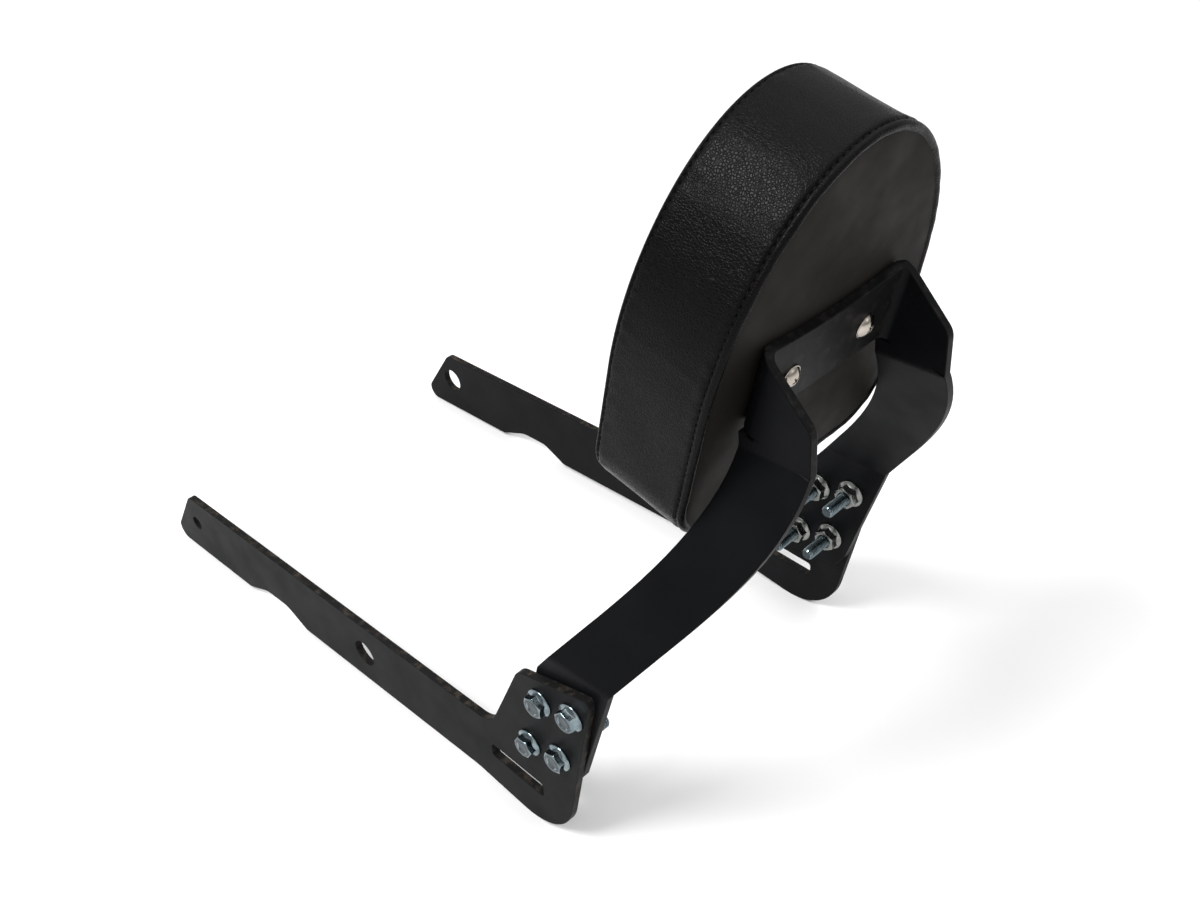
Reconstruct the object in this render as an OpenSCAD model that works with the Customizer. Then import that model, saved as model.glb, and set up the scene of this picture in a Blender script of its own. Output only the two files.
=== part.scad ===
// Motorcycle backrest: two laser-cut side plates, one folded sheet bracket and
// an upholstered pad, held together with flange bolts and nuts.
// The plates stand on edge as in the photograph. +X is the rider's left, -Y is
// forward (the side the pad's front faces), +Z is up.

/* [Side plates] */
// Distance between the outer faces of the two side plates
outer_width = 250; // [200:1:300]
// Thickness of each side plate
plate_t = 5; // [4:0.5:6]
// Height of the plate's long arm
arm_h = 50; // [46:1:54]
// Diameter of the front hole in the left plate
front_hole_left_d = 10.5; // [8:0.5:14]
// Diameter of the front hole in the right plate
front_hole_right_d = 19; // [14:0.5:22]
// Diameter of the middle hole in both plates
middle_hole_d = 18.5; // [14:0.5:22]
// Length of the slot in each foot, end to end
slot_l = 43; // [34:1:46]
// Width of the slot
slot_w = 10.5; // [8:0.5:12]
// How far the rounded foot reaches below the straight lower edge
foot_drop = 6.2; // [4:0.2:9]
// Lean of the foot's rear edge from upright
ear_tilt = 14; // [10:1:18]

/* [Folded bracket] */
// Thickness of the bracket's sheet
sheet_t = 5; // [4:0.5:6]
// Inside radius of the bends
bend_r = 4.5; // [3:0.5:7]
// Width of the centre panel over the outside of its two bends
panel_w = 109; // [96:1:116]
// Height of the centre panel at its bends
panel_h = 45; // [40:1:50]
// Depth of the hollow in the centre panel's top edge
panel_sag = 4.5; // [0:0.5:7]
// Height of the upper crease, above the plates' straight lower edge
crease_top = 262; // [256:1:265]
// Height of the lower crease, above the plates' straight lower edge
crease_low = 133; // [128:1:138]

/* [Pad] */
// Lean of the pad from upright, top to the rear
lean = 15; // [10:1:20]
// Width of the pad at its widest
pad_w = 162; // [140:2:180]
// Height of the pad along its own lean
pad_h = 201; // [190:1:215]
// Thickness of the pad, front cover to back cover
pad_t = 57; // [45:1:65]
// Thickness of the vinyl covers
vinyl_t = 1.2; // [0.8:0.2:2]
// Thickness of the plywood board in the pad
board_t = 12; // [9:1:15]
// Radius of the pad's lower corners
corner_r = 30; // [14:1:36]

/* [Hardware] */
// Thread diameter of the plate bolts
bolt_d = 8; // [7:0.5:8.5]
// Length of the plate bolts under the head
bolt_l = 35; // [28:1:40]
// Spacing of the plate bolts along each row
bolt_dx = 25; // [22:0.5:27]
// Spacing of the two rows of plate bolts
bolt_dz = 43; // [40:0.5:46]
// Lean of the two columns of bolts, from upright
bolt_lean = 18.8; // [12:0.2:22]
// Thread diameter of the pad screws
screw_d = 6; // [5:0.5:7]
// Distance between the two pad screws
screw_gap = 56; // [44:1:64]

/* [Hidden] */
$fn = 72;

// Clearances: bolts and screws in their holes, threads in their nuts, and the
// curved faces of the foam and the board inside the side band
hole_fit = 0.5;
thread_fit = 0.05;
soft_fit = 0.3;

// Key points of the plates, as [Y, Z] with Y = 0 at the front of the scallop
// and Z = 0 on the straight lower edge
tip_y = -101;          // sharp corner of the front tip
tip_r = 8;             // its radius
half_w = outer_width / 2;
plate_x = half_w - plate_t;        // inner face of the left plate
front_hole = [-60, 27];
middle_hole = [143, 24.5];
slot_mid = [288.5, 25];
slot_tilt = -4;
foot_r = 38;
foot_in = 250;         // where the lower edge starts to drop to the foot
ear_top = [358.5, 127];
ear_front = [302, 113];
ear_root = 270;
bolt_mid = [323.8, 84];

// Hexagons of the bolt heads and nuts, across their flats, and their heights
bolt_flats = bolt_d * 1.5;
bolt_head_h = bolt_d * 0.81;
nut_flats = bolt_d * 1.625;
nut_h = bolt_d;

// Steepness of the foot's underside, from the drop it has to make
foot_slope = foot_drop / 41.5;
// Corner where the rear edge would meet the foot's underside
foot_y = (ear_top[0] - tan(ear_tilt) * (ear_top[1] - foot_in * foot_slope))
         / (1 + tan(ear_tilt) * foot_slope);
foot_corner = [foot_y, -(foot_y - foot_in) * foot_slope];
foot_a = atan(foot_slope);

// Centres of the two arcs that the plates stand on, the foot's to a few
// millimetres along its underside
foot_tan = foot_r * tan((180 - (90 + foot_a - ear_tilt)) / 2);
foot_c = foot_corner + foot_tan * [-cos(foot_a), sin(foot_a)]
         + foot_r * [sin(foot_a), cos(foot_a)];
tip_a = atan2(arm_h, -62 - tip_y);
tip_c = [tip_y + tip_r / tan(tip_a / 2), tip_r];

// Tilt that sets the front tip on the ground, and the foot within 1 mm of it
stand_a = foot_c[0] - tip_c[0];
stand_b = foot_c[1] - tip_c[1];
stand_c = foot_r - tip_r;
rest_tilt = asin(stand_c / sqrt(stand_a * stand_a + stand_b * stand_b)) - atan2(stand_b, stand_a);
ground = tip_c[0] * sin(rest_tilt) + tip_c[1] * cos(rest_tilt) - tip_r;

// Bracket: wing faces, creases and the foot of the centre panel
wing_x = panel_w / 2;
outer_r = bend_r + sheet_t;
slant = atan((plate_x - wing_x) / (crease_top - crease_low));
fold = [394.7, 272];            // foot of the centre panel, on the pad's back face
wing_rear = 436;
wing_corner = [wing_rear, 284.5];
relief = 1.5;                   // height of the slit under the centre panel's bend
wing_depth = 95;                // depth of the folded channel before its outline is cut
tab_low = [289, 40];            // where the tab's front and lower edges would meet
tab_toe = [294, 40.5];          // start of the cut that clips that corner
tab_heel = [333, 44];
tab_rear = [340, 54];
arm_low_front = [313.5, 120];
arm_low_rear = [366, 131];

// Pad: heights are measured from the foot of the centre panel, along the lean
pad_low = -70;
pad_dome = 12;         // height at which the domed top begins
pad_waist = 2;         // how much narrower the lower end is
screw_s = 18;
insert_d = screw_d + 2;
insert_flange_d = screw_d + 11;

// Middle of the whole object from front to back, so that the origin lies
// under its middle
front_y = (tip_c[0] - tip_r) * cos(rest_tilt) - tip_c[1] * sin(rest_tilt);
rear_y = wing_rear * cos(rest_tilt) - 272 * sin(rest_tilt);
mid_y = (front_y + rear_y) / 2;

// Outline helpers

function unit(v) = v / norm(v);
function turned(v, a) = [v[0] * cos(a) - v[1] * sin(a), v[0] * sin(a) + v[1] * cos(a)];
// Points of one rounded corner at p, between a before it and b after it
function corner(a, p, b, r, step = 6) = r <= 0 ? [p] :
    let (u = unit(a - p), v = unit(b - p),
         half = acos(max(-1, min(1, u * v))) / 2,
         c = p + unit(u + v) * r / sin(half),
         s = p + u * r / tan(half) - c,
         turn = 180 - 2 * half,
         side = sign(u[0] * v[1] - u[1] * v[0]),
         n = max(1, ceil(turn / step)))
    [for (i = [0:n]) c + turned(s, -side * turn * i / n)];
// Outline from a list of [y, z, radius] corners
function rounded(q) = [for (i = [0:len(q) - 1])
    let (a = q[(i + len(q) - 1) % len(q)], p = q[i], b = q[(i + 1) % len(q)])
    each corner([a[0], a[1]], [p[0], p[1]], [b[0], b[1]], p[2])];
function arc(c, r, a0, a1, n) = [for (i = [0:n])
    let (a = a0 + (a1 - a0) * i / n) c + r * [cos(a), sin(a)]];
function bezier(a, b, c, d, n) = [for (i = [0:n])
    let (t = i / n, s = 1 - t) s*s*s*a + 3*s*s*t*b + 3*s*t*t*c + t*t*t*d];
// A point of the side view given in the pad's frame: d behind the pad's back
// face and s up along the lean
function side(d, s) = fold + d * [cos(lean), -sin(lean)] + s * [sin(lean), cos(lean)];
// A point on the sloping top edge of a wing, d behind the pad's back face
function wing_top(d) =
    let (a = side(2, panel_h), b = wing_corner,
         db = (b - fold) * [cos(lean), -sin(lean)])
    a + (b - a) * (d - 2) / (db - 2);

// The object stands on its front tips and its feet, centred over the origin
module standing() {
    translate([0, -mid_y, -ground]) rotate([rest_tilt, 0, 0]) children();
}
// Side-view outline turned into a plate from x0 to x0 + t
module plate(x0, t) {
    translate([x0, 0, 0]) rotate([90, 0, 90]) linear_extrude(t) children();
}
// The pad's frame: Y = 0 on the pad's back face, Z up along the lean
module leaning() {
    translate([0, fold[0], fold[1]]) rotate([-lean, 0, 0]) children();
}
// A drilled hole along X
module drill(x0, t, at, d) {
    translate([x0 - 1, at[0], at[1]]) rotate([0, 90, 0]) cylinder(d = d, h = t + 2);
}
// Places of the four plate bolts: upper front, upper rear, lower front, lower rear
function bolt_at(i) =
    let (a = (i % 2 == 0 ? -0.5 : 0.5) * bolt_dx, b = (i < 2 ? 0.5 : -0.5) * bolt_dz)
    bolt_mid + a * [cos(ear_tilt), sin(ear_tilt)] + b * [sin(bolt_lean), cos(bolt_lean)];

// Side plates

module plate_outline() {
    polygon(rounded([
        [tip_y, 0, tip_r], [0, 0, 2], [26, 9.8, 26], [50, 9.8, 16], [70, 0, 2],
        [foot_in, 0, 60], [foot_corner[0], foot_corner[1], foot_r],
        [ear_top[0], ear_top[1], 3.5], [ear_front[0], ear_front[1], 11],
        [ear_root, arm_h, 18], [-62, arm_h, 8]]));
}
module foot_slot(x0, t) {
    translate([x0 - 1, slot_mid[0], slot_mid[1]]) rotate([slot_tilt, 0, 0]) rotate([90, 0, 90])
        linear_extrude(t + 2) polygon(rounded([
            [-slot_l / 2, -slot_w / 2, 2.5], [slot_l / 2, -slot_w / 2, 2.5],
            [slot_l / 2, slot_w / 2, 2.5], [-slot_l / 2, slot_w / 2, 2.5]]));
}
module side_plate(front_d) {
    difference() {
        plate(plate_x, plate_t) plate_outline();
        drill(plate_x, plate_t, front_hole, front_d);
        drill(plate_x, plate_t, middle_hole, middle_hole_d);
        foot_slot(plate_x, plate_t);
        for (i = [0:3]) drill(plate_x, plate_t, bolt_at(i), bolt_d + hole_fit);
    }
}
module left_side_plate() {
    color([0.16, 0.17, 0.18]) standing() side_plate(front_hole_left_d);
}
module right_side_plate() {
    color([0.16, 0.17, 0.18]) standing() mirror([1, 0, 0]) side_plate(front_hole_right_d);
}

// Folded bracket

// Section across the wing, the slanting arm and the tab, seen from the front
module arm_section() {
    lift = bend_r * tan(slant / 2);
    drop = outer_r * tan(slant / 2);
    c2 = [wing_x + bend_r, crease_top + lift];
    c3 = [plate_x - outer_r, crease_low - drop];
    polygon(concat(
        [[wing_x, 330]], arc(c2, bend_r, 180, 180 + slant, 8), arc(c3, outer_r, slant, 0, 8),
        [[plate_x, 20], [plate_x - sheet_t, 20]],
        arc(c3, bend_r, 0, slant, 8), arc(c2, outer_r, 180 + slant, 180, 8),
        [[wing_x - sheet_t, 330]]));
}
// Side view of what lies behind the front edge of a wing, arm and tab. The
// step at its top is the relief cut under the centre panel's bend
module behind_front_edge() {
    polygon(concat(
        [side(outer_r + 1, panel_h + 15), side(outer_r + 1, -relief)],
        bezier(side(2, -relief), [400, 225], [352, 172], arm_low_front, 20),
        [tab_low, tab_low - 0.3 * (arm_low_front - tab_low), [450, 15], [450, 345]]));
}
// Side view of the whole bracket: the wings' sloping top edges and rounded
// rear corners, the arms' rear edges and the tabs' lower edges
module bracket_side() {
    polygon(concat(
        [wing_top(-6)], corner(wing_top(-6), wing_corner, [wing_rear, crease_top], 10),
        bezier([wing_rear, crease_top], [wing_rear, 222], [400, 180], arm_low_rear, 20),
        [tab_rear], corner(tab_rear, tab_heel, tab_toe, 3),
        [tab_toe, tab_toe + [-12, 8], [250, 60], [250, 345]]));
}
// Plan of the centre panel with its two bends and the start of the wings
module channel_section() {
    c = [wing_x - outer_r, outer_r];
    polygon(concat(
        arc([-c[0], c[1]], outer_r, 180, 270, 16), arc(c, outer_r, 270, 360, 16),
        [[wing_x, wing_depth], [wing_x - sheet_t, wing_depth]],
        arc(c, bend_r, 360, 270, 16), arc([-c[0], c[1]], bend_r, 270, 180, 16),
        [[-wing_x + sheet_t, wing_depth], [-wing_x, wing_depth]]));
}
// Front view of the centre panel, with the hollow in its top edge
module panel_outline() {
    half = wing_x + 3;
    sag_r = (half * half + panel_sag * panel_sag) / (2 * max(panel_sag, 0.01));
    difference() {
        translate([-wing_x - 1, -5]) square([2 * wing_x + 2, panel_h + 5]);
        if (panel_sag > 0)
            translate([0, panel_h - panel_sag + sag_r]) circle(r = sag_r, $fn = 240);
    }
}
// One sheet folded into a channel behind the pad, its two wings running down
// into slanting arms and then into the tabs that bolt to the plates
module folded_bracket() {
    color([0.11, 0.12, 0.13]) standing() difference() {
        intersection() {
            union() {
                intersection() {
                    leaning() linear_extrude(panel_h + 2) channel_section();
                    leaning() translate([0, wing_depth + 5, 0]) rotate([90, 0, 0])
                        linear_extrude(wing_depth + 25) panel_outline();
                }
                for (m = [0, 1]) mirror([m, 0, 0]) difference() {
                    intersection() {
                        translate([0, 445, 0]) rotate([90, 0, 0])
                            linear_extrude(175) arm_section();
                        plate(wing_x - 20, plate_x - wing_x + 30) behind_front_edge();
                    }
                    leaning() translate([0, -50, 0]) cube([wing_x + 50, 200, 200]);
                }
            }
            plate(-half_w, outer_width) bracket_side();
        }
        for (x = [-0.5, 0.5]) leaning() translate([x * screw_gap, -1, screw_s])
            rotate([-90, 0, 0]) cylinder(d = screw_d + hole_fit, h = sheet_t + 2);
        for (m = [0, 1], i = [0:3]) mirror([m, 0, 0])
            drill(plate_x - sheet_t, sheet_t, bolt_at(i), bolt_d + hole_fit);
    }
}

// Flange bolts and nuts

// Hexagon with its top corners turned down, dished on top
module hex_body(s, h, dish_d, dish) {
    difference() {
        intersection() {
            cylinder(d = s / cos(30), h = h, $fn = 6);
            union() {
                cylinder(d = s / cos(30) + 1, h = h - 1);
                translate([0, 0, h - 1]) cylinder(d1 = s / cos(30) + 0.4, d2 = s - 1.2, h = 1);
            }
        }
        if (dish > 0) translate([0, 0, h - dish])
            cylinder(d1 = dish_d - 1, d2 = dish_d, h = dish + 0.01);
    }
}
// Flange under a hexagon: a flat rim, then a cone up to the flats
module flange(d, flats) {
    cylinder(d = d, h = 1.2);
    translate([0, 0, 1.2]) cylinder(d1 = d - 0.3, d2 = flats, h = 1.6);
}
// Bolt along Z, seated at z = 0 with its head upwards
module flange_bolt() {
    flange(bolt_d * 2.1, bolt_flats);
    hex_body(bolt_flats, bolt_head_h, bolt_d * 0.95, 0.7);
    translate([0, 0, -bolt_l + 1]) cylinder(d = bolt_d, h = bolt_l - 0.5);
    translate([0, 0, -bolt_l]) cylinder(d1 = bolt_d - 2, d2 = bolt_d, h = 1);
}
// Nut along Z, seated at z = 0
module flange_nut() {
    difference() {
        union() {
            flange(bolt_d * 2.24, nut_flats);
            hex_body(nut_flats, nut_h, 0, 0);
        }
        translate([0, 0, -1]) cylinder(d = bolt_d + 2 * thread_fit, h = nut_h + 2);
        translate([0, 0, nut_h - 0.8]) cylinder(d1 = bolt_d, d2 = bolt_d + 1.7, h = 0.81);
    }
}
module bolt_on(m, i) {
    color([0.72, 0.74, 0.77]) standing() mirror([m, 0, 0])
        translate([half_w, bolt_at(i)[0], bolt_at(i)[1]]) rotate([11 * i, 0, 0])
        rotate([0, 90, 0]) flange_bolt();
}
module nut_on(m, i) {
    color([0.75, 0.74, 0.70]) standing() mirror([m, 0, 0])
        translate([plate_x - sheet_t, bolt_at(i)[0], bolt_at(i)[1]]) rotate([17 * i, 0, 0])
        rotate([0, -90, 0]) flange_nut();
}

// Pad

// Outline of the pad, drawn smaller all round by the inset
module pad_outline(inset) {
    a = pad_w / 2 - inset;
    b = pad_h + pad_low - pad_dome - inset;
    low = pad_low + inset;
    narrow = a - pad_waist / 2;
    r = corner_r - inset;
    polygon(concat(
        [for (i = [0:48]) [a * cos(i * 3.75), pad_dome + b * sin(i * 3.75)]],
        corner([-a, pad_dome], [-narrow, low], [0, low], r),
        corner([0, low], [narrow, low], [a, pad_dome], r)));
}
// A layer of the pad from y0 back to y1, both measured from its back face
module layer(y0, y1, inset) {
    leaning() translate([0, y1, 0]) rotate([90, 0, 0]) linear_extrude(y1 - y0) pad_outline(inset);
}
module screw_bores(y0, y1, d) {
    for (x = [-0.5, 0.5]) leaning() translate([x * screw_gap, y0, screw_s])
        rotate([-90, 0, 0]) cylinder(d = d, h = y1 - y0);
}
module pad_front_cover() {
    color([0.11, 0.10, 0.09]) standing() layer(-pad_t, -pad_t + vinyl_t, 0);
}
module pad_side_band() {
    color([0.11, 0.10, 0.09]) standing() difference() {
        layer(-pad_t + vinyl_t, -vinyl_t, 0);
        layer(-pad_t, 0, vinyl_t);
    }
}
module pad_back_cover() {
    color([0.20, 0.18, 0.16]) standing() difference() {
        layer(-vinyl_t, 0, 0);
        screw_bores(-vinyl_t - 1, 1, screw_d + hole_fit);
    }
}
module pad_board() {
    color([0.70, 0.56, 0.38]) standing() difference() {
        layer(-vinyl_t - board_t, -vinyl_t, vinyl_t + soft_fit);
        screw_bores(-vinyl_t - board_t - 1, 1, insert_d + 2 * thread_fit);
    }
}
module pad_foam() {
    color([0.90, 0.86, 0.70]) standing() difference() {
        layer(-pad_t + vinyl_t, -vinyl_t - board_t, vinyl_t + soft_fit);
        screw_bores(-vinyl_t - board_t - 4, -vinyl_t - board_t + 1, insert_flange_d + 0.6);
    }
}
// Flanged threaded insert, pressed into the board from the foam side
module insert(x) {
    color([0.70, 0.71, 0.72]) standing() leaning()
        translate([x, -vinyl_t - board_t, screw_s]) rotate([-90, 0, 0]) difference() {
            union() {
                translate([0, 0, -1.5]) cylinder(d = insert_flange_d, h = 1.5);
                translate([0, 0, -0.1]) cylinder(d = insert_d, h = board_t - 1.9);
            }
            translate([0, 0, -3]) cylinder(d = screw_d + 2 * thread_fit, h = board_t + 5);
        }
}
// Domed screw with a cross recess, seated on the rear of the centre panel
module pad_screw(x) {
    color([0.80, 0.79, 0.76]) standing() leaning()
        translate([x, sheet_t, screw_s]) rotate([-90, 0, 0]) {
            difference() {
                union() {
                    cylinder(d = screw_d * 2.15, h = 0.9);
                    translate([0, 0, 0.9]) intersection() {
                        cylinder(d = screw_d * 1.9, h = 3);
                        translate([0, 0, 3 - 7.2]) sphere(r = 7.2);
                    }
                }
                for (q = [0, 90]) rotate([0, 0, q + 30]) translate([-2, -0.5, 2.2]) cube([4, 1, 3]);
            }
            translate([0, 0, -sheet_t - vinyl_t - board_t + 0.5])
                cylinder(d = screw_d, h = sheet_t + vinyl_t + board_t);
        }
}

left_side_plate();
right_side_plate();
folded_bracket();
bolt_on(0, 0);  // left_flange_bolt_1
bolt_on(0, 1);  // left_flange_bolt_2
bolt_on(0, 2);  // left_flange_bolt_3
bolt_on(0, 3);  // left_flange_bolt_4
bolt_on(1, 0);  // right_flange_bolt_1
bolt_on(1, 1);  // right_flange_bolt_2
bolt_on(1, 2);  // right_flange_bolt_3
bolt_on(1, 3);  // right_flange_bolt_4
nut_on(0, 0);  // left_flange_nut_1
nut_on(0, 1);  // left_flange_nut_2
nut_on(0, 2);  // left_flange_nut_3
nut_on(0, 3);  // left_flange_nut_4
nut_on(1, 0);  // right_flange_nut_1
nut_on(1, 1);  // right_flange_nut_2
nut_on(1, 2);  // right_flange_nut_3
nut_on(1, 3);  // right_flange_nut_4
pad_front_cover();
pad_side_band();
pad_back_cover();
pad_foam();
pad_board();
insert(screw_gap / 2);  // pad_insert_left
insert(-screw_gap / 2);  // pad_insert_right
pad_screw(screw_gap / 2);  // pad_screw_left
pad_screw(-screw_gap / 2);  // pad_screw_right
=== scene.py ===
"""Looks of a motorcycle backrest: powder-coated plates and bracket, zinc bolts, a sewn vinyl pad."""

from math import cos, pi, radians, sin

import bmesh
import bpy
from mathutils import Matrix, Vector, noise
from mathutils.geometry import tessellate_polygon


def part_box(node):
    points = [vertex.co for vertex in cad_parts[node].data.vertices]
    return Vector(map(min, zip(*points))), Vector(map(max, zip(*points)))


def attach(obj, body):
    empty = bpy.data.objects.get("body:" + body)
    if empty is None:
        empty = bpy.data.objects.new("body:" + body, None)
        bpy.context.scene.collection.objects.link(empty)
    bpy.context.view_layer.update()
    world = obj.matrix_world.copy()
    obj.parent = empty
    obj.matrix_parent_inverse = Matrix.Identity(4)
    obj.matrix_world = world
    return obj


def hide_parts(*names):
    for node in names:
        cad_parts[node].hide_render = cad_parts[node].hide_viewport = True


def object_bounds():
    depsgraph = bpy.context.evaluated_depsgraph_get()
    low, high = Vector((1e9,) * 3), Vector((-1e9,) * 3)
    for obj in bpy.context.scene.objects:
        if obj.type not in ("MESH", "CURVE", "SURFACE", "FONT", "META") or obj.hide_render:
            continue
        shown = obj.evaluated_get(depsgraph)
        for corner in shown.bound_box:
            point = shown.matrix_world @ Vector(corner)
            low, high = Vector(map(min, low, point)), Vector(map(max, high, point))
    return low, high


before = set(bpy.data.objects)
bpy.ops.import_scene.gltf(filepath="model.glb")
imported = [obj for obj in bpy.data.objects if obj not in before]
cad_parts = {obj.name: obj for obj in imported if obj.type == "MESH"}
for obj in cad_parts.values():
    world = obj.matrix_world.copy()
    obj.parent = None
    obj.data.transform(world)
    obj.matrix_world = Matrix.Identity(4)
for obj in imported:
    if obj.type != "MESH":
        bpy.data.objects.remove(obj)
cad_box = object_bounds()
MM = 0.001

# The pad's own frame: X across, Y from front to back with 0 on its back face, Z up the lean.
PAD = Matrix.Translation((0, 221.107 * MM, 278.791 * MM)) @ Matrix.Rotation(radians(-14.185), 4, "X")
PAD_W = 162.0
PAD_TOP, PAD_DOME, PAD_LOW = 131.0, 12.0, -70.0     # heights: top, start of the dome, low edge
PAD_WAIST, CORNER_R = 2.0, 30.0           # how much narrower the low edge is, and its corners' radius
PAD_MID = Vector((0, 18.0))               # the point that the rings of the pad's faces close in on
STITCHES = 152                            # in one row round the pad
PER_STITCH = 4                            # points of the outline for each stitch
THREAD_R = 0.36
FRONT_ROW, REAR_ROW = -53.9, -3.4         # depth of the two rows of stitching

# The cover as cloth: it swells for some frames, and the move of each point is limited.
PRESSURE, SWELL_FRAMES = 4, 20
MAX_MOVE, MAX_DIP = 1.8, 0.3              # furthest move, and furthest move inwards
SPREAD = 7                                # stitches over which a fold fades out along the seam

HEAD_FLATS, HEAD_H, HEAD_FLANGE = 12.0, 6.48, 16.8
NUT_FLATS, NUT_H, NUT_FLANGE, NUT_BORE_R = 13.0, 8.0, 17.92, 4.05
BOLT_L, BOLT_R, ROOT_R = 35.0, 3.97, 3.30     # length under the head, radius of the crests and of the roots
PITCH = 1.25

CAMERA_PLACE = (0.41515, 0.52166, 0.61089)
CAMERA_LOOK = (-0.54919, -0.59260, -0.58925)
CAMERA_RIGHT = (-0.70001, 0.71135, -0.06296)
CAMERA_LENS = 38.853
FLOOR_REACH = 6.0


# Materials

class Nodes:
    """Adds nodes to one material and links them by name."""

    def __init__(self, name, roughness, metallic=0.0, specular=0.5):
        self.material = bpy.data.materials.new(name)
        self.material.use_nodes = True
        self.tree = self.material.node_tree
        self.shader = self.tree.nodes["Principled BSDF"]
        self.shader.inputs["Roughness"].default_value = roughness
        self.shader.inputs["Metallic"].default_value = metallic
        self.shader.inputs["Specular IOR Level"].default_value = specular
        self.place = self.tree.nodes.new("ShaderNodeTexCoord").outputs["Object"]

    def feed(self, socket, value):
        """Links another node's output to the socket, or sets it to a number or a colour."""
        if isinstance(value, bpy.types.NodeSocket):
            self.tree.links.new(value, socket)
        else:
            socket.default_value = (*value, 1) if isinstance(value, tuple) else value

    def add(self, kind, **inputs):
        n = self.tree.nodes.new("ShaderNode" + kind)
        for key, value in inputs.items():
            self.feed(n.inputs[key.replace("_", " ")], value)
        return n

    def noise(self, size_mm, detail=3.0, roughness=0.5):
        """Noise whose blotches are about size_mm across, from 0 to 1."""
        return self.add("TexNoise", Vector=self.place, Scale=1 / (size_mm * MM),
                        Detail=detail, Roughness=roughness).outputs["Fac"]

    def ramp(self, value, low, high, start=0.0, end=1.0):
        """Maps a value from low..high to start..end, clamped."""
        return self.add("MapRange", Value=value, From_Min=low, From_Max=high,
                        To_Min=start, To_Max=end).outputs["Result"]

    def mix(self, share, a, b):
        n = self.tree.nodes.new("ShaderNodeMix")
        n.data_type = "RGBA"
        for k, value in ((0, share), (6, a), (7, b)):
            self.feed(n.inputs[k], value)
        return n.outputs[2]

    def math(self, operation, a, b=0.0):
        n = self.tree.nodes.new("ShaderNodeMath")
        n.operation = operation
        for socket, value in zip(n.inputs, (a, b)):
            self.feed(socket, value)
        return n.outputs[0]

    def facing_x(self):
        """1 where the surface faces along X, 0 where it lies along X."""
        normal = self.add("NewGeometry").outputs["Normal"]
        return self.math("ABSOLUTE", self.add("SeparateXYZ", Vector=normal).outputs["X"])

    def bump(self, height, depth_mm, strength=1.0, over=None):
        n = self.add("Bump", Height=height, Distance=depth_mm * MM, Strength=strength)
        if over is not None:
            self.tree.links.new(over, n.inputs["Normal"])
        return n.outputs["Normal"]

    def set(self, **inputs):
        for key, value in inputs.items():
            self.feed(self.shader.inputs[key.replace("_", " ")], value)
        return self.material


def powder_coat(name, dark, light, edge, roughness, edge_share, shine):
    """Black powder coat: a fine orange peel, faint dust, and thin coating on the cut edges."""
    m = Nodes(name, roughness, specular=shine)
    is_edge = m.ramp(m.facing_x(), 0.75, 0.35)
    worn = m.math("MULTIPLY", is_edge, m.ramp(m.noise(6, 6, 0.7), 0.50, 0.66, 0.06, edge_share))
    base = m.mix(m.ramp(m.noise(60, 4), 0.35, 0.65), dark, light)
    specks = m.ramp(m.noise(1.6, 2), 0.735, 0.78, 0.0, 0.55)
    base = m.mix(specks, base, tuple(3.5 * c for c in light))
    peel = m.bump(m.noise(1.1, 2), 0.02, 0.8)
    return m.set(Base_Color=m.mix(worn, base, edge), Normal=peel,
                 Roughness=m.ramp(m.noise(25, 4), 0.3, 0.7, roughness - 0.05, roughness + 0.06))


def vinyl(name, dark, light, grain_mm, depth_mm, roughness):
    """Leather-look vinyl: small pebbles with creases between them."""
    m = Nodes(name, roughness, specular=0.066)
    warp = m.add("TexNoise", Vector=m.place, Scale=1 / (2.5 * MM), Detail=2.0).outputs["Color"]
    place = m.mix(0.0012, m.place, warp)
    cells = m.tree.nodes.new("ShaderNodeTexVoronoi")
    cells.feature = "DISTANCE_TO_EDGE"
    cells.inputs["Scale"].default_value = 1 / (grain_mm * MM)
    m.tree.links.new(place, cells.inputs["Vector"])
    pebble = m.ramp(cells.outputs["Distance"], 0.0, 0.22)
    soft = m.bump(m.noise(14, 3), 0.35, 0.35)
    grain = m.bump(pebble, depth_mm, 0.9, over=soft)
    base = m.mix(m.ramp(m.noise(45, 4), 0.3, 0.7), dark, light)
    return m.set(Base_Color=base, Normal=grain,
                 Roughness=m.ramp(pebble, 0.0, 1.0, roughness + 0.14, roughness))


def plated(name, tone_a, tone_b, roughness, painted_shade_share=1.0):
    """Zinc or nickel plate: faint rainbow patches, fine marks, and painted shade that dims the faces square
    to the bolts.
    """
    m = Nodes(name, roughness, metallic=1.0)
    base = m.mix(m.ramp(m.noise(5, 3), 0.35, 0.65), tone_a, tone_b)
    # Painted shade: faces square to X (flat tops and flange faces) are mixed towards near-black, keeping only
    # the given share of their colour.
    base = m.mix(m.ramp(m.facing_x(), 0.84, 0.99, 1.0, painted_shade_share), (0.008, 0.010, 0.012), base)
    marks = m.bump(m.noise(1.1, 3), 0.012, 0.35)
    return m.set(Base_Color=base, Normal=marks,
                 Roughness=m.ramp(m.noise(2.5, 5), 0.3, 0.75, roughness - 0.05, roughness + 0.10))


def cloth_thread(name, tone):
    m = Nodes(name, 0.5, specular=0.10)
    twist = m.add("TexWave", Vector=m.place, Scale=1 / (1.6 * MM), Distortion=2.0).outputs["Fac"]
    return m.set(Base_Color=m.mix(m.noise(3, 2), tone, tuple(1.6 * c for c in tone)),
                 Normal=m.bump(twist, 0.08, 0.6))


def smooth_backing(name, dark, light):
    """Matte backing sheet of the pad, faintly mottled."""
    m = Nodes(name, 0.62, specular=0.075)
    base = m.mix(m.ramp(m.noise(38, 5), 0.3, 0.7), dark, light)
    dust = m.ramp(m.noise(1.3, 2), 0.74, 0.80, 0.0, 0.4)
    base = m.mix(dust, base, tuple(3.0 * c for c in light))
    return m.set(Base_Color=base, Normal=m.bump(m.noise(0.9, 3), 0.03, 0.6),
                 Roughness=m.ramp(m.noise(20, 3), 0.3, 0.7, 0.55, 0.7))


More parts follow.
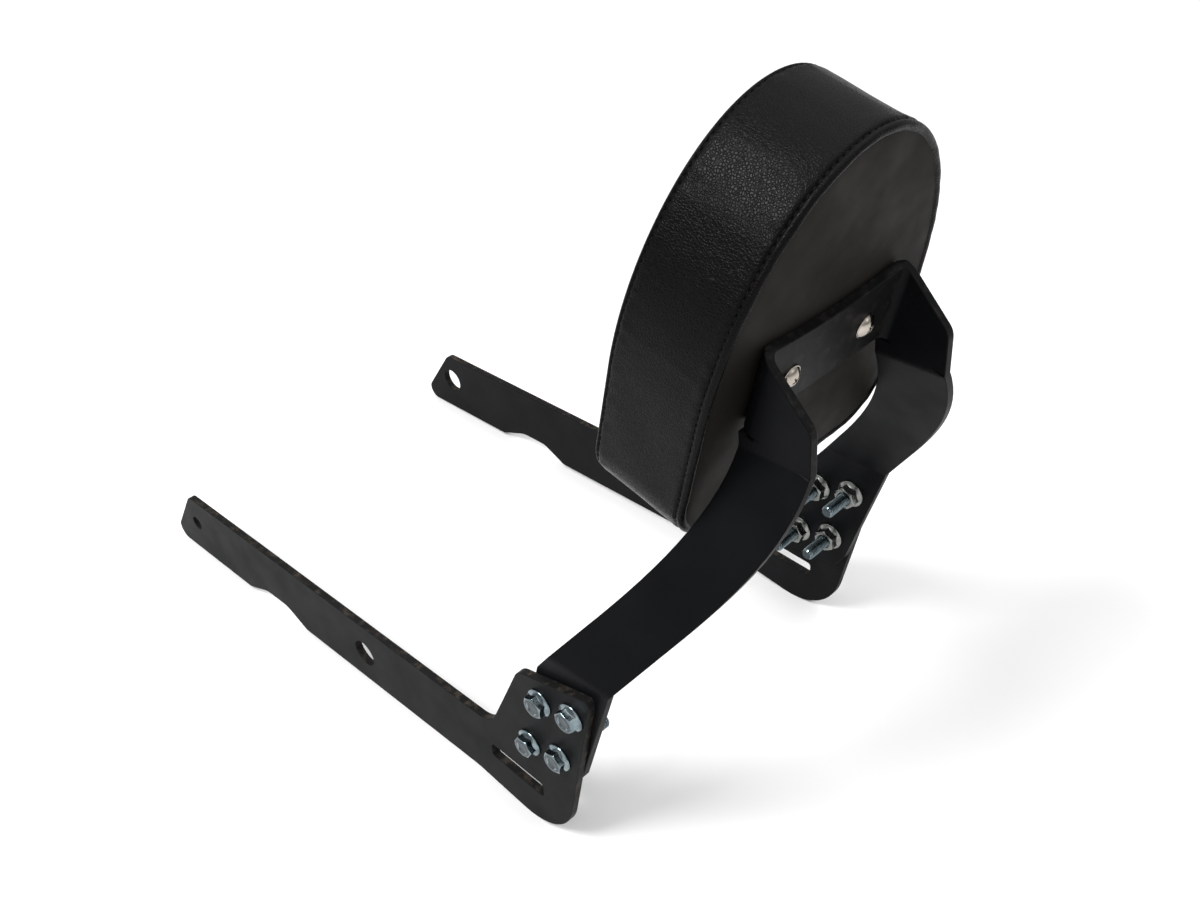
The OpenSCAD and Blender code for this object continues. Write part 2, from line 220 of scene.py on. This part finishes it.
def plywood(name):
    m = Nodes(name, 0.8)
    grain = m.add("TexWave", Vector=m.place, Scale=90.0, Distortion=6.0, Detail=3.0).outputs["Fac"]
    return m.set(Base_Color=m.mix(grain, (0.46, 0.32, 0.18), (0.60, 0.44, 0.27)),
                 Normal=m.bump(grain, 0.1, 0.5))


PLATE = powder_coat("plate_powder_coat", (0.0050, 0.0053, 0.0057), (0.0072, 0.0075, 0.0080),
                    edge=(0.048, 0.040, 0.032), roughness=0.44, edge_share=0.75, shine=0.034)
ARM = powder_coat("bracket_powder_coat", (0.0027, 0.0030, 0.0035), (0.0042, 0.0046, 0.0053),
                  edge=(0.034, 0.031, 0.027), roughness=0.42, edge_share=0.45, shine=0.044)
VINYL = vinyl("pad_vinyl", (0.0021, 0.0019, 0.0018), (0.0033, 0.0030, 0.0028),
              grain_mm=1.3, depth_mm=0.09, roughness=0.26)
BACKING = smooth_backing("pad_backing", (0.0080, 0.0067, 0.0055), (0.0113, 0.0096, 0.0080))
THREAD = cloth_thread("sewing_thread", (0.0034, 0.0031, 0.0028))
# The two zinc finishes carry painted shade on their faces square to the bolts; the nickel has none.
ZINC = plated("bright_zinc", (0.12, 0.16, 0.18), (0.24, 0.29, 0.31), roughness=0.15, painted_shade_share=0.22)
ZINC_NUT = plated("yellowish_zinc", (0.21, 0.22, 0.20), (0.28, 0.29, 0.28), roughness=0.22, painted_shade_share=0.6)
NICKEL = plated("nickel", (0.38, 0.34, 0.29), (0.48, 0.44, 0.39), roughness=0.16)
WOOD = plywood("pad_plywood")


# Making pieces

def piece(name, verts, faces, material, replaced=(), smooth_below=35):
    """A mesh object from points in metres, riding on the one body."""
    mesh = bpy.data.meshes.new(name)
    mesh.from_pydata(verts, [], faces)
    mesh.validate()
    obj = bpy.data.objects.new(name, mesh)
    bpy.context.scene.collection.objects.link(obj)
    mesh.materials.append(material)
    mesh.shade_smooth()
    mesh.set_sharp_from_angle(angle=radians(smooth_below))
    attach(obj, "root")
    if replaced:
        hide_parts(*replaced)
    return obj


def softened(node, material, name, width_mm):
    """Stands for a CAD node, with the same shape and the sharp edges rounded as sheet metal's are."""
    bm = bmesh.new()
    bm.from_mesh(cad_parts[node].data)
    bmesh.ops.remove_doubles(bm, verts=bm.verts, dist=2e-6)
    bmesh.ops.dissolve_limit(bm, angle_limit=radians(0.6), verts=bm.verts, edges=bm.edges,
                             use_dissolve_boundaries=False)
    bm.verts.index_update()
    verts = [v.co.copy() for v in bm.verts]
    faces = [[v.index for v in f.verts] for f in bm.faces]
    bm.free()
    obj = piece(name, verts, faces, material, (node,))
    bevel = obj.modifiers.new("edges", "BEVEL")
    bevel.width = width_mm * MM
    bevel.segments = 2
    bevel.limit_method = "ANGLE"
    bevel.angle_limit = radians(40)
    bevel.use_clamp_overlap = False
    flat = obj.modifiers.new("flat_faces", "WEIGHTED_NORMAL")
    flat.weight = 100
    flat.keep_sharp = True
    return obj


def face_loops(node, x):
    """Outline and holes of a flat plate's face at x, each walked with the sheet on its left seen from +X."""
    bm = bmesh.new()
    bm.from_mesh(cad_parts[node].data)
    bmesh.ops.remove_doubles(bm, verts=bm.verts, dist=2e-6)

    def on_face(f):
        return all(abs(v.co.x - x) < 1e-5 for v in f.verts)

    after = {}
    for f in filter(on_face, bm.faces):
        for corner in f.loops:
            if not any(on_face(other) for other in corner.edge.link_faces if other is not f):
                a, b = corner.vert, corner.link_loop_next.vert
                if f.normal.x < 0:
                    a, b = b, a
                after[a] = b
    loops = []
    while after:
        start, following = after.popitem()
        loop = [start.co.yz.copy()]
        while following is not start:
            loop.append(following.co.yz.copy())
            following = after.pop(following)
        loops.append(loop)
    bm.free()
    return loops


def drawn_in(loop, inset):
    """The same loop moved into the sheet by the inset."""
    moved = []
    for k, p in enumerate(loop):
        a = (p - loop[k - 1]).normalized()
        b = (loop[(k + 1) % len(loop)] - p).normalized()
        a, b = Vector((-a.y, a.x)), Vector((-b.y, b.x))
        moved.append(p + (a + b) * (inset / max(0.3, 1 + a.dot(b))))
    return moved


def flat_plate(node, material, name, round_mm):
    """Stands for a flat CAD plate: same outline and holes, with its cut edges slightly rounded."""
    low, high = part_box(node)
    r = round_mm * MM
    halfway = 0.29 * r                        # at 45 degrees round the edge
    steps = [(low.x, r), (low.x + halfway, halfway), (low.x + r, 0),
             (high.x - r, 0), (high.x - halfway, halfway), (high.x, r)]
    loops = face_loops(node, high.x)
    verts, faces, ends = [], [], ([], [])
    for loop in loops:
        start, count = len(verts), len(loop)
        for x, inset in steps:
            verts += [Vector((x, p.x, p.y)) for p in drawn_in(loop, inset)]
        faces += [tuple(start + v for v in f) for f in grid_faces(len(steps), count)]
        ends[0].append(list(range(start, start + count)))
        ends[1].append(list(range(start + (len(steps) - 1) * count, start + len(steps) * count)))
    for end, order in zip(ends, (-1, 1)):
        flat = [v for ring in end for v in ring]
        for triangle in tessellate_polygon([[verts[v].yz.to_3d() for v in ring] for ring in end]):
            t = [flat[k] for k in triangle]
            up = (verts[t[1]] - verts[t[0]]).cross(verts[t[2]] - verts[t[0]]).x
            faces.append(tuple(t if up * order > 0 else reversed(t)))
    return piece(name, verts, faces, material, (node,), smooth_below=18)


def grid_faces(rows, columns, closed=True):
    """Quads between rows of points, each row a loop of that many points."""
    last = columns if closed else columns - 1
    return [(r * columns + c, r * columns + (c + 1) % columns,
             (r + 1) * columns + (c + 1) % columns, (r + 1) * columns + c)
            for r in range(rows - 1) for c in range(last)]


def capped(rows, columns):
    """Grid faces, with a fan from one point before the rows and one after them."""
    count = rows * columns
    faces = grid_faces(rows, columns)
    faces += [((c + 1) % columns, c, count) for c in range(columns)]
    start = (rows - 1) * columns
    faces += [(start + c, start + (c + 1) % columns, count + 1) for c in range(columns)]
    return faces


# Pad

def pad_outline(count):
    """Evenly spaced points round the pad, each with its outward direction, seen from the front."""
    a, b = PAD_W / 2, PAD_TOP - PAD_DOME
    dome = [Vector((a * cos(t * pi / 360), PAD_DOME + b * sin(t * pi / 360))) for t in range(361)]
    foot = Vector((a - PAD_WAIST / 2, PAD_LOW))
    up = (Vector((a, PAD_DOME)) - foot).normalized()
    half = (pi - up.angle(Vector((-1, 0)))) / 2
    reach = CORNER_R * sin(half) / cos(half)
    centre = foot + Vector((-reach, CORNER_R))
    turn = [centre + CORNER_R * Vector((cos(t), sin(t)))
            for t in (-pi / 2 + 2 * half * i / 60 for i in range(61))]
    right = turn + [turn[-1].lerp(Vector((a, PAD_DOME)), i / 30) for i in range(1, 30)]
    left = [Vector((-p.x, p.y)) for p in reversed(right)]
    loop = right + dome + left
    loop.append(loop[0].copy())
    lengths = [0.0]
    for p, q in zip(loop, loop[1:]):
        lengths.append(lengths[-1] + (q - p).length)
    points, k = [], 0
    for i in range(count):
        want = lengths[-1] * i / count
        while lengths[k + 1] < want:
            k += 1
        points.append(loop[k].lerp(loop[k + 1], (want - lengths[k]) / (lengths[k + 1] - lengths[k])))
    outward = []
    for i in range(count):
        along = points[(i + 2) % count] - points[i - 2]
        outward.append(Vector((along.y, -along.x)).normalized())
    return points, outward


OUTLINE, OUTWARD = pad_outline(STITCHES * PER_STITCH)


def at(i, inset, depth, share=1.0):
    """A point of the pad in its own frame, in mm: inset from the outline, then drawn towards the middle."""
    p = OUTLINE[i] - OUTWARD[i] * inset
    p = PAD_MID.lerp(p, share)
    return Vector((p.x, depth, p.y))


def cover_profile():
    """Rings of the cover from the middle of its front to the middle of its back: inset, depth, share."""
    rings = [(14, -58.0 - 1.2 * (1 - (k / 12) ** 2.4), k / 12) for k in range(1, 12)]
    rings += [(14, -58.0, 1), (11, -57.9, 1), (8.5, -57.75, 1), (6.5, -57.6, 1), (5, -57.4, 1),
              (3.8, -57.2, 1), (2.9, -56.95, 1), (2.2, -56.65, 1), (1.6, -56.3, 1), (1.1, -55.9, 1),
              (0.65, -55.5, 1), (0.3, -55.1, 1), (0.2, FRONT_ROW - 0.7, 1)]
    rings += [(0.95, FRONT_ROW, 1), (0.2, FRONT_ROW + 0.7, 1), (-0.15, FRONT_ROW + 1.7, 1)]
    first, last = FRONT_ROW + 4, REAR_ROW - 4
    for k in range(15):
        rings.append((-0.1, first + (last - first) * (k / 14), 1))
    rings += [(-0.15, REAR_ROW - 1.7, 1), (0.2, REAR_ROW - 0.7, 1), (0.95, REAR_ROW, 1),
              (0.2, REAR_ROW + 0.7, 1), (-0.05, REAR_ROW + 1.5, 1),
              (0.1, -1.2, 1), (0.35, -0.6, 1), (0.75, -0.1, 1), (1.3, 0.3, 1),
              (2.0, 0.5, 1), (2.7, 0.45, 1), (3.4, 0.15, 1), (4.0, -0.25, 1), (4.7, -0.75, 1), (5.5, -1.1, 1),
              (6.5, -1.15, 1), (10, -1.15, 1), (14, -1.15, 1)]
    rings += [(14, -1.15, k / 6) for k in range(5, 0, -1)]
    return rings


def near(value, target, reach):
    """1 on target, falling smoothly to 0 at reach on either side."""
    t = max(0.0, 1 - abs(value - target) / reach)
    return t * t * (3 - 2 * t)


def outwards(i):
    """Direction out of the pad's side at a point of its outline, in the pad's own frame."""
    return Vector((OUTWARD[i].x, 0, OUTWARD[i].y))


def on_axis(depth):
    """The middle point of the pad at a depth."""
    return Vector((PAD_MID.x, depth, PAD_MID.y))


def pulled(i, p, inset, depth, share):
    """Moves a point as the sewing does: dimples at the needle holes, ripples by the seams, soft hollows."""
    out = outwards(i)
    front = Vector((0, -1, 0))
    sway = noise.noise(p / 26) * 0.4 + noise.noise(p / 60 + Vector((7, 3, 1))) * 0.5
    ripple = noise.noise(Vector((i * 0.16, depth * 0.06, 5.0))) * 0.45
    on_band = share == 1 and FRONT_ROW < depth < REAR_ROW
    edge = max(near(depth, FRONT_ROW, 9), near(depth, REAR_ROW, 9))
    hole = 0.5 + 0.5 * cos(2 * pi * i / PER_STITCH)
    if on_band:
        p = p + out * (sway * (1 - edge) + ripple * edge)
    if depth < -55 and inset >= 5:
        p = p + front * (0.9 * noise.noise(p / 40) + ripple * near(inset, 5, 9)) * share
    if share == 1 and inset < 2:
        dimple = max(near(depth, FRONT_ROW, 1.6), near(depth, REAR_ROW, 1.6))
        p = p - out * 0.38 * hole * dimple
    if depth > -0.5 and share == 1:
        p = p + Vector((0, 1, 0)) * (0.35 * ripple + 0.25 * noise.noise(p / 9))
    return p


def puffed(rings):
    """Simulates the sewn cover as cloth blown against its seams; how far each coarse point moves, in mm."""
    columns = range(0, len(OUTLINE), PER_STITCH)
    rest = [pulled(i, at(i, *ring), *ring) for ring in rings for i in columns]
    rest += [on_axis(rings[0][1] - 0.1), on_axis(rings[-1][1])]
    mesh = bpy.data.meshes.new("cover_cloth")
    mesh.from_pydata([p * MM for p in rest], [], capped(len(rings), len(columns)))
    cloth = bpy.data.objects.new("cover_cloth", mesh)
    bpy.context.scene.collection.objects.link(cloth)
    held = cloth.vertex_groups.new(name="sewn")
    for r, (inset, depth, share) in enumerate(rings):
        band = share == 1 and FRONT_ROW + 1 < depth < REAR_ROW - 1
        face = depth < -56.9 and (inset >= 5 or share < 1)
        if not (band or face):
            held.add(range(r * len(columns), (r + 1) * len(columns)), 1, "REPLACE")
    held.add([len(rest) - 1], 1, "REPLACE")
    blow = cloth.modifiers.new("cloth", "CLOTH")
    settings = blow.settings
    settings.quality = 6
    settings.mass = 0.3
    settings.tension_stiffness = settings.compression_stiffness = 15
    settings.shear_stiffness = 5
    settings.bending_stiffness = 1.5
    settings.shrink_min = settings.shrink_max = -0.001
    settings.use_pressure = True
    settings.uniform_pressure_force = PRESSURE
    settings.effector_weights.gravity = 0
    settings.vertex_group_mass = "sewn"
    blow.point_cache.frame_start, blow.point_cache.frame_end = 1, SWELL_FRAMES
    scene = bpy.context.scene
    for frame_number in range(1, SWELL_FRAMES + 1):
        scene.frame_set(frame_number)
    blown = cloth.evaluated_get(bpy.context.evaluated_depsgraph_get()).to_mesh()
    moved = []
    for k, (vert, p) in enumerate(zip(blown.vertices, rest)):
        step = vert.co / MM - p
        step *= min(1, MAX_MOVE / max(step.length, 1e-6))
        out = outwards(columns[k % len(columns)])
        inward = -step.dot(out)
        if inward > MAX_DIP:
            step += out * (inward - MAX_DIP)
        moved.append(step)
    scene.frame_set(1)
    bpy.data.objects.remove(cloth)
    bpy.data.meshes.remove(mesh)
    # The foam under the cover spreads sharp folds out along the seam.
    width = len(columns)
    eased = []
    for r in range(len(rings)):
        row = moved[r * width:(r + 1) * width]
        for k in range(width):
            near_by = (row[(k + d) % width] * (SPREAD - abs(d)) for d in range(1 - SPREAD, SPREAD))
            eased.append(sum(near_by, Vector()) / SPREAD ** 2 * 0.8 + row[k] * 0.2)
    return eased + moved[-2:]


def make_cover():
    """The sewn cover, swollen by its filling; gives the points of its two rows of needle holes."""
    rings = cover_profile()
    count = len(OUTLINE)
    moved = puffed(rings)
    points = []
    for r, ring in enumerate(rings):
        for i in range(count):
            k, part = divmod(i, PER_STITCH)
            row = r * STITCHES
            step = moved[row + k].lerp(moved[row + (k + 1) % STITCHES], part / PER_STITCH)
            points.append(pulled(i, at(i, *ring), *ring) + step)
    points += [on_axis(rings[0][1] - 0.1) + moved[-2], on_axis(rings[-1][1])]
    verts = [PAD @ (p * MM) for p in points]
    cover = piece("pad_cover", verts, capped(len(rings), count), VINYL,
                  ("pad_front_cover", "pad_side_band", "pad_foam"), smooth_below=80)
    starts = [r * count for r, ring in enumerate(rings) if ring[1] in (FRONT_ROW, REAR_ROW)]
    return [points[start:start + count] for start in starts]


def make_stitches(rows):
    """Two rows of thread: each stitch lies on the vinyl and dives into a needle hole at both ends."""
    verts, faces = [], []
    sides, steps = 8, 8
    for row in rows:
        count = len(row)
        for k in range(STITCHES):
            i = k * PER_STITCH
            a, b = row[i], row[(i + PER_STITCH) % count]
            out = outwards(i + PER_STITCH // 2)
            along = (b - a).normalized()
            aside = along.cross(out).normalized()
            slant = aside * (0.12 + 0.35 * noise.noise(Vector((k * 0.73, a.y, 2.0))))
            start = len(verts)
            for s in range(steps + 1):
                t = s / steps
                arch = sin(pi * t)
                centre = a.lerp(b, 0.06 + 0.88 * t) + out * (0.52 * arch ** 0.6 - 0.25) + slant * cos(pi * t)
                radius = THREAD_R * (0.45 + 0.55 * arch ** 0.5)
                for q in range(sides):
                    angle = 2 * pi * q / sides
                    verts.append(PAD @ ((centre + (out * cos(angle) + aside * sin(angle)) * radius) * MM))
            faces += [tuple(start + v for v in f) for f in grid_faces(steps + 1, sides)]
            faces.append(tuple(start + q for q in reversed(range(sides))))
            faces.append(tuple(start + steps * sides + q for q in range(sides)))
    return piece("pad_stitches", verts, faces, THREAD, smooth_below=60)


def make_back_panel():
    """The backing sheet: flat where the bracket presses on it, its edge tucked under the rolled seam."""
    count = len(OUTLINE)
    top = [(3.75, -0.55, 1), (4.2, -0.4, 1), (5.0, -0.3, 1), (6.2, -0.2, 1), (8, -0.1, 1), (14, -0.06, 1)]
    top += [(14, -0.06, k / 10) for k in range(9, 0, -1)]
    under = [(14, -1.1, k / 3) for k in (1, 2, 3)] + [(4.6, -1.1, 1)]
    rings = under + [(4.0, -1.0, 1)] + top
    points = [at(i, *ring) for ring in rings for i in range(count)]
    points += [on_axis(-1.1), on_axis(-0.06)]
    verts = [PAD @ (p * MM) for p in points]
    return piece("pad_back_panel", verts, capped(len(rings), count), BACKING,
                 ("pad_back_cover",), smooth_below=50)


# Bolts, nuts and screws

# Angles of the columns of a turned part: closer together at the six corners of its hexagon.
COLUMNS = [radians(60 * side + off) for side in range(6) for off in (-28.8, -24, -16, -8, 0, 8, 16, 24, 28.8)]


def lathe(rings, through=False):
    """A turned part from rings of (radius, height), either of them a number or a function of the angle."""
    verts = []
    for radius, height in rings:
        for t in COLUMNS:
            r = radius(t) if callable(radius) else radius
            z = height(t) if callable(height) else height
            verts.append(Vector((r * cos(t), r * sin(t), z)))
    count = len(COLUMNS)
    if through:
        last = (len(rings) - 1) * count
        faces = grid_faces(len(rings), count)
        faces += [(last + c, last + (c + 1) % count, (c + 1) % count, c) for c in range(count)]
    else:
        faces = capped(len(rings), count)
        verts += [Vector((0, 0, rings[0][1])), Vector((0, 0, rings[-1][1]))]
    return verts, faces


def hexagon(flats):
    """Radius of a hexagon by angle."""
    def radius(t):
        off = (t + pi / 6) % (pi / 3) - pi / 6
        return flats / 2 / cos(off)
    return radius


def head_rings(flats, height, flange_d):
    """Flange, cone, hexagon and turned-down corners, from the seat upwards."""
    side = hexagon(flats)
    rim, skirt = flange_d / 2, flange_d / 2 - 0.35
    corner = flats / 2 / cos(pi / 6) + 0.2
    top = flats / 2 - 0.6

    def foot(t):
        return 1.25 + 1.55 * (skirt - side(t)) / (skirt - flats / 2)

    def shoulder(t):
        return height - 1 + (corner - side(t)) / (corner - top)

    return [(rim - 0.4, 0.0), (rim, 0.3), (rim, 0.95), (rim - 0.12, 1.18), (skirt, 1.25),
            (lambda t: side(t) + 0.35, lambda t: foot(t) - 0.22),
            (lambda t: side(t) + 0.06, lambda t: foot(t) + 0.04),
            (side, lambda t: foot(t) + 0.4), (side, lambda t: shoulder(t) - 0.12),
            (lambda t: side(t) - 0.10, lambda t: shoulder(t) + 0.04),
            (top + 0.12, height - 0.06), (top - 0.1, height)]


def thread(start, end, crest, root, count=40):
    """A screw thread down from start to end, each row following the helix, the end bevelled and closed."""
    profile = ((0.0, root), (0.28, root), (0.58, crest), (0.72, crest))
    verts, faces = [], []
    rows = 4 * (int((start - end) / PITCH) + 3)
    for row in range(rows):
        share, r = profile[row % 4]
        for c in range(count):
            t = 2 * pi * c / count
            z = start - PITCH * (row // 4 + share + c / count - 1)
            z = min(start, max(end, z))
            radius = min(r, root - 0.3 + (crest - root + 0.3) * (z - end) / 1.3)
            verts.append(Vector((radius * cos(t), radius * sin(t), z)))
    for row in range(rows - 1):
        for c in range(count - 1):
            a, b = row * count + c, (row + 1) * count + c
            faces.append((a, b, b + 1, a + 1))
        if row + 5 < rows:
            a, b = row * count + count - 1, (row + 1) * count + count - 1
            faces.append((a, b, (row + 5) * count, (row + 4) * count))
    verts.append(Vector((0, 0, end)))
    last = (rows - 1) * count
    faces += [(last + c, len(verts) - 1, last + (c + 1) % count) for c in range(count)]
    return verts, faces


def joined(*shapes):
    """Several shapes as one list of points and one of faces."""
    verts, faces = [], []
    for points, polygons in shapes:
        faces += [tuple(len(verts) + v for v in f) for f in polygons]
        verts += points
    return verts, faces


def bolt_shape():
    """Flange bolt along Z, its seat at 0: a head with a round hollow on top, a plain neck and the thread."""
    hollow = [(3.95, 0), (3.75, -0.1), (3.3, -0.62), (2.9, -0.7), (1.0, -0.7)]
    head = lathe(head_rings(HEAD_FLATS, HEAD_H, HEAD_FLANGE) + [(r, HEAD_H + z) for r, z in hollow])
    neck = lathe([(3.4, -9.6), (BOLT_R, -9.0), (BOLT_R, 0.6)])
    return joined(head, neck, thread(-8.0, -BOLT_L, BOLT_R, ROOT_R))


def nut_shape():
    """Flange nut along Z, its seat at 0."""
    mouth = [(NUT_BORE_R + 0.9, NUT_H), (NUT_BORE_R + 0.75, NUT_H - 0.07), (NUT_BORE_R, NUT_H - 0.85)]
    seat = [(NUT_BORE_R, 0.4), (NUT_BORE_R + 0.35, 0.0)]
    return lathe(seat + head_rings(NUT_FLATS, NUT_H, NUT_FLANGE) + mouth, through=True)


def placed(name, shape, node, seat, points_to, spin, material):
    """Puts a turned part where its CAD node is: its seat at that X, its top towards +X or -X."""
    low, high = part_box(node)
    mid = (low + high) / 2
    turn = Matrix.Rotation(spin, 4, "X") @ Matrix.Rotation(points_to * pi / 2, 4, "Y")
    move = Matrix.Translation((seat, mid.y, mid.z)) @ turn
    verts, faces = shape
    return piece(name, [move @ (v * MM) for v in verts], faces, material, (node,), smooth_below=24)


def make_fasteners():
    """Bolt heads outside the plates, nuts inside, each turned to an angle of its own."""
    bolt, nut = bolt_shape(), nut_shape()
    for side, out, first_turn in (("left", 1, 9), ("right", -1, 31)):
        for i in (1, 2, 3, 4):
            node = f"{side}_flange_bolt_{i}"
            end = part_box(node)[1 if out > 0 else 0].x
            placed(f"{side}_bolt_{i}_threaded", bolt, node, end - out * HEAD_H * MM, out,
                   radians(17 * i + first_turn), ZINC)
            node = f"{side}_flange_nut_{i}"
            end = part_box(node)[1 if out > 0 else 0].x
            placed(f"{side}_nut_{i}_chamfered", nut, node, end, -out, radians(23 * i), ZINC_NUT)


# All pieces

for side in ("left", "right"):
    flat_plate(f"{side}_side_plate", PLATE, f"{side}_plate_coated", round_mm=0.4)
softened("folded_bracket", ARM, "bracket_coated", width_mm=0.45)
make_fasteners()

make_stitches(make_cover())
make_back_panel()

for side in ("left", "right"):
    softened(f"pad_screw_{side}", NICKEL, f"pad_screw_{side}_polished", width_mm=0.14)
for node, material in (("pad_board", WOOD), ("pad_insert_left", NICKEL), ("pad_insert_right", NICKEL)):
    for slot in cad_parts[node].material_slots:
        slot.material = material


# Studio

def make_floor():
    """Pale paper under the object."""
    mesh = bpy.data.meshes.new("floor")
    s, z = FLOOR_REACH, cad_box[0].z
    mesh.from_pydata([(-s, -s, z), (s, -s, z), (s, s, z), (-s, s, z)], [], [(0, 1, 2, 3)])
    floor = bpy.data.objects.new("floor", mesh)
    bpy.context.scene.collection.objects.link(floor)
    m = Nodes("floor_paper", 0.9, specular=0.1)
    mesh.materials.append(m.set(Base_Color=m.mix(m.noise(300, 2), (0.80, 0.80, 0.80), (0.82, 0.82, 0.82))))


def area_light(name, place, target, size, power):
    """A round lamp of that width in metres, aimed at the target."""
    light = bpy.data.lights.new(name, "AREA")
    light.shape = "DISK"
    light.size = size
    light.energy = power
    obj = bpy.data.objects.new(name, light)
    bpy.context.scene.collection.objects.link(obj)
    obj.location = place
    obj.rotation_mode = "QUATERNION"
    obj.rotation_quaternion = (Vector(target) - Vector(place)).to_track_quat("-Z", "Y")


def make_camera():
    """The photograph's view."""
    look, right = Vector(CAMERA_LOOK), Vector(CAMERA_RIGHT)
    up = right.cross(look)
    camera = bpy.data.cameras.new("camera")
    camera.sensor_width = 36
    camera.lens = CAMERA_LENS
    camera.clip_end = 50
    obj = bpy.data.objects.new("camera", camera)
    bpy.context.scene.collection.objects.link(obj)
    turn = Matrix((right, up, -look)).transposed().to_4x4()
    obj.matrix_world = Matrix.Translation(CAMERA_PLACE) @ turn
    bpy.context.scene.camera = obj


def make_world():
    """A bright ceiling that falls off to dim walls, so that metal shows light and dark."""
    world = bpy.data.worlds.new("studio")
    world.use_nodes = True
    tree = world.node_tree
    place = tree.nodes.new("ShaderNodeTexCoord")
    split = tree.nodes.new("ShaderNodeSeparateXYZ")
    rise = tree.nodes.new("ShaderNodeMapRange")
    rise.interpolation_type = "SMOOTHSTEP"
    for name, value in (("From Min", 0.05), ("From Max", 0.75), ("To Min", 0.38), ("To Max", 1.00)):
        rise.inputs[name].default_value = value
    tree.links.new(place.outputs["Generated"], split.inputs["Vector"])
    tree.links.new(split.outputs["Z"], rise.inputs["Value"])
    tree.links.new(rise.outputs["Result"], tree.nodes["Background"].inputs["Strength"])
    tree.nodes["Background"].inputs["Color"].default_value = (1, 1, 1, 1)
    bpy.context.scene.world = world


make_world()
bpy.context.scene.view_settings.view_transform = "Standard"

make_floor()
area_light("key", (1.26, -0.30, 2.0), (0, 0.1, 0.25), 0.9, 45)
area_light("top", (-0.6, 0.6, 2.4), (0, 0.05, 0.1), 2.2, 20)
area_light("rear", (-0.6, 1.9, 1.1), (0.05, 0.05, 0.15), 0.8, 1.2)
make_camera()
